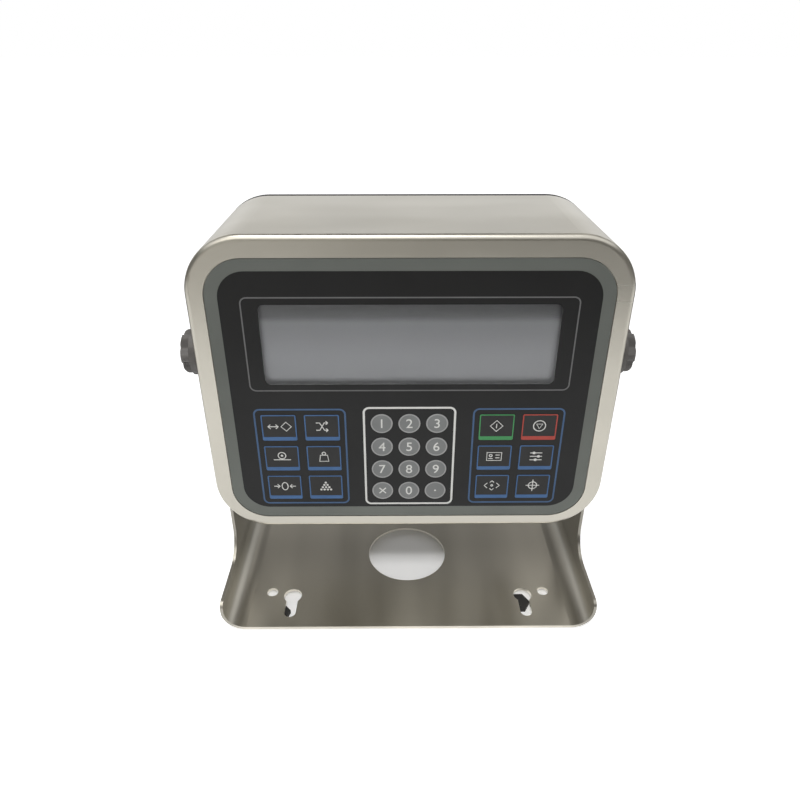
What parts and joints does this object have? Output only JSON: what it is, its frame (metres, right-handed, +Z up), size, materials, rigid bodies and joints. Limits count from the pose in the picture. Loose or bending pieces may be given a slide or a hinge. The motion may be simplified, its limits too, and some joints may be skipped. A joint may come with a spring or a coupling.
{
  "type": "weighing indicator",
  "caption": "Stainless weighing indicator with a display, number and function keys, held between two clamp knobs in a tilting bench or wall bracket.",
  "frame": {"origin": "on the floor, under the middle of the bracket base", "axes": "+Z up, +X to the right of someone who reads the display, the display faces -Y"},
  "size_m": [0.2948, 0.1484, 0.273],
  "materials": {
    "brushed_stainless": "brushed, satin",
    "bright_steel": "turned and plated",
    "rubber_black": "matt",
    "rubber_foot": "matt",
    "washer_fibre": "pressed fibre",
    "overlay_print": "fine satin print, grey border",
    "key_grey": "satin print with a light ring",
    "key_dark": "satin print with a coloured frame",
    "spacer_film": "plain film",
    "circuit_film": "film with printed tracks",
    "window_clear": "clear",
    "display_grey": "grey liquid crystal glass, unlit",
    "light_guide": "diffusing",
    "black_plastic": "moulded, fine grain",
    "board_green": "solder resist",
    "chip_black": "moulded",
    "transformer_iron": "varnished laminations",
    "terminal_green": "moulded",
    "ribbon_grey": "extruded",
    "gland_grey": "moulded polyamide"
  },
  "bodies": {
    "bracket": {"tilt_bracket": "brushed_stainless", "bracket_feet": "rubber_foot"},
    "housing": {"friction_washers": "washer_fibre", "pivot_inserts": "bright_steel", "housing_shell": "brushed_stainless", "rear_cover": "brushed_stainless", "rear_gasket": "rubber_black", "rear_screws": "bright_steel", "keypad_overlay": "overlay_print", "keypad_spacer": "spacer_film", "keypad_circuit": "circuit_film", "key_domes": "bright_steel", "display_window": "window_clear", "display_bezel": "black_plastic", "display_glass": "display_grey", "display_backlight": "light_guide", "display_board": "board_green", "display_standoffs": "bright_steel", "main_board": "board_green", "main_standoffs": "bright_steel", "board_screws": "bright_steel", "board_parts": "chip_black", "transformer": "transformer_iron", "terminal_blocks": "terminal_green", "ribbon_cable": "ribbon_grey", "gland_bodies": "gland_grey", "gland_nuts": "gland_grey", "gland_locknuts": "gland_grey", "gland_seals": "rubber_black", "vent_plug": "black_plastic"},
    "left_clamp": {"left_washer": "bright_steel"},
    "right_clamp": {"right_washer": "bright_steel"},
    "left_clamp_knob": {"left_knob": "black_plastic", "left_stud": "bright_steel"},
    "right_clamp_knob": {"right_knob": "black_plastic", "right_stud": "bright_steel"},
    "key_1_cap": {"key_1": "key_grey"},
    "key_2_cap": {"key_2": "key_grey"},
    "key_3_cap": {"key_3": "key_grey"},
    "key_4_cap": {"key_4": "key_grey"},
    "key_5_cap": {"key_5": "key_grey"},
    "key_6_cap": {"key_6": "key_grey"},
    "key_7_cap": {"key_7": "key_grey"},
    "key_8_cap": {"key_8": "key_grey"},
    "key_9_cap": {"key_9": "key_grey"},
    "key_clear_cap": {"key_clear": "key_grey"},
    "key_0_cap": {"key_0": "key_grey"},
    "key_point_cap": {"key_point": "key_grey"},
    "key_tare_cap": {"key_tare": "key_dark"},
    "key_select_cap": {"key_select": "key_dark"},
    "key_print_cap": {"key_print": "key_dark"},
    "key_units_cap": {"key_units": "key_dark"},
    "key_zero_cap": {"key_zero": "key_dark"},
    "key_sample_cap": {"key_sample": "key_dark"},
    "key_start_cap": {"key_start": "key_dark"},
    "key_stop_cap": {"key_stop": "key_dark"},
    "key_ident_cap": {"key_ident": "key_dark"},
    "key_function_cap": {"key_function": "key_dark"},
    "key_setup_cap": {"key_setup": "key_dark"},
    "key_target_cap": {"key_target": "key_dark"}
  },
  "joints": [
    {"name": "housing_tilt", "type": "hinge", "parent": "bracket", "child": "housing", "pos_m": [0, 0, 0.182], "axis": [1, 0, 0], "range_deg": [-90, 90]},
    {"name": "left_knob_turn", "type": "hinge", "parent": "left_clamp", "child": "left_clamp_knob", "pos_m": [-0.14, 0, 0.182], "axis": [-1, 0, 0], "range_deg": [0, 720]},
    {"name": "left_clamp_slide", "type": "slide", "parent": "housing", "child": "left_clamp", "axis": [-1, 0, 0], "range_m": [0, 0.0025]},
    {"name": "right_knob_turn", "type": "hinge", "parent": "right_clamp", "child": "right_clamp_knob", "pos_m": [0.14, 0, 0.182], "axis": [1, 0, 0], "range_deg": [0, 720]},
    {"name": "right_clamp_slide", "type": "slide", "parent": "housing", "child": "right_clamp", "axis": [1, 0, 0], "range_m": [0, 0.0025]},
    {"name": "key_1_press", "type": "slide", "parent": "housing", "child": "key_1_cap", "axis": [0, 1, 0], "range_m": [0, 0.0003], "stiffness_N_per_m": 1500},
    {"name": "key_2_press", "type": "slide", "parent": "housing", "child": "key_2_cap", "axis": [0, 1, 0], "range_m": [0, 0.0003], "stiffness_N_per_m": 1500},
    {"name": "key_3_press", "type": "slide", "parent": "housing", "child": "key_3_cap", "axis": [0, 1, 0], "range_m": [0, 0.0003], "stiffness_N_per_m": 1500},
    {"name": "key_4_press", "type": "slide", "parent": "housing", "child": "key_4_cap", "axis": [0, 1, 0], "range_m": [0, 0.0003], "stiffness_N_per_m": 1500},
    {"name": "key_5_press", "type": "slide", "parent": "housing", "child": "key_5_cap", "axis": [0, 1, 0], "range_m": [0, 0.0003], "stiffness_N_per_m": 1500},
    {"name": "key_6_press", "type": "slide", "parent": "housing", "child": "key_6_cap", "axis": [0, 1, 0], "range_m": [0, 0.0003], "stiffness_N_per_m": 1500},
    {"name": "key_7_press", "type": "slide", "parent": "housing", "child": "key_7_cap", "axis": [0, 1, 0], "range_m": [0, 0.0003], "stiffness_N_per_m": 1500},
    {"name": "key_8_press", "type": "slide", "parent": "housing", "child": "key_8_cap", "axis": [0, 1, 0], "range_m": [0, 0.0003], "stiffness_N_per_m": 1500},
    {"name": "key_9_press", "type": "slide", "parent": "housing", "child": "key_9_cap", "axis": [0, 1, 0], "range_m": [0, 0.0003], "stiffness_N_per_m": 1500},
    {"name": "key_clear_press", "type": "slide", "parent": "housing", "child": "key_clear_cap", "axis": [0, 1, 0], "range_m": [0, 0.0003], "stiffness_N_per_m": 1500},
    {"name": "key_0_press", "type": "slide", "parent": "housing", "child": "key_0_cap", "axis": [0, 1, 0], "range_m": [0, 0.0003], "stiffness_N_per_m": 1500},
    {"name": "key_point_press", "type": "slide", "parent": "housing", "child": "key_point_cap", "axis": [0, 1, 0], "range_m": [0, 0.0003], "stiffness_N_per_m": 1500},
    {"name": "key_tare_press", "type": "slide", "parent": "housing", "child": "key_tare_cap", "axis": [0, 1, 0], "range_m": [0, 0.0003], "stiffness_N_per_m": 1500},
    {"name": "key_select_press", "type": "slide", "parent": "housing", "child": "key_select_cap", "axis": [0, 1, 0], "range_m": [0, 0.0003], "stiffness_N_per_m": 1500},
    {"name": "key_print_press", "type": "slide", "parent": "housing", "child": "key_print_cap", "axis": [0, 1, 0], "range_m": [0, 0.0003], "stiffness_N_per_m": 1500},
    {"name": "key_units_press", "type": "slide", "parent": "housing", "child": "key_units_cap", "axis": [0, 1, 0], "range_m": [0, 0.0003], "stiffness_N_per_m": 1500},
    {"name": "key_zero_press", "type": "slide", "parent": "housing", "child": "key_zero_cap", "axis": [0, 1, 0], "range_m": [0, 0.0003], "stiffness_N_per_m": 1500},
    {"name": "key_sample_press", "type": "slide", "parent": "housing", "child": "key_sample_cap", "axis": [0, 1, 0], "range_m": [0, 0.0003], "stiffness_N_per_m": 1500},
    {"name": "key_start_press", "type": "slide", "parent": "housing", "child": "key_start_cap", "axis": [0, 1, 0], "range_m": [0, 0.0003], "stiffness_N_per_m": 1500},
    {"name": "key_stop_press", "type": "slide", "parent": "housing", "child": "key_stop_cap", "axis": [0, 1, 0], "range_m": [0, 0.0003], "stiffness_N_per_m": 1500},
    {"name": "key_ident_press", "type": "slide", "parent": "housing", "child": "key_ident_cap", "axis": [0, 1, 0], "range_m": [0, 0.0003], "stiffness_N_per_m": 1500},
    {"name": "key_function_press", "type": "slide", "parent": "housing", "child": "key_function_cap", "axis": [0, 1, 0], "range_m": [0, 0.0003], "stiffness_N_per_m": 1500},
    {"name": "key_setup_press", "type": "slide", "parent": "housing", "child": "key_setup_cap", "axis": [0, 1, 0], "range_m": [0, 0.0003], "stiffness_N_per_m": 1500},
    {"name": "key_target_press", "type": "slide", "parent": "housing", "child": "key_target_cap", "axis": [0, 1, 0], "range_m": [0, 0.0003], "stiffness_N_per_m": 1500}
  ],
  "couplings": [
    {"joint": "left_knob_turn", "follows": "left_clamp_slide", "rad_per_m": 5026.5},
    {"joint": "right_knob_turn", "follows": "right_clamp_slide", "rad_per_m": 5026.5}
  ]
}
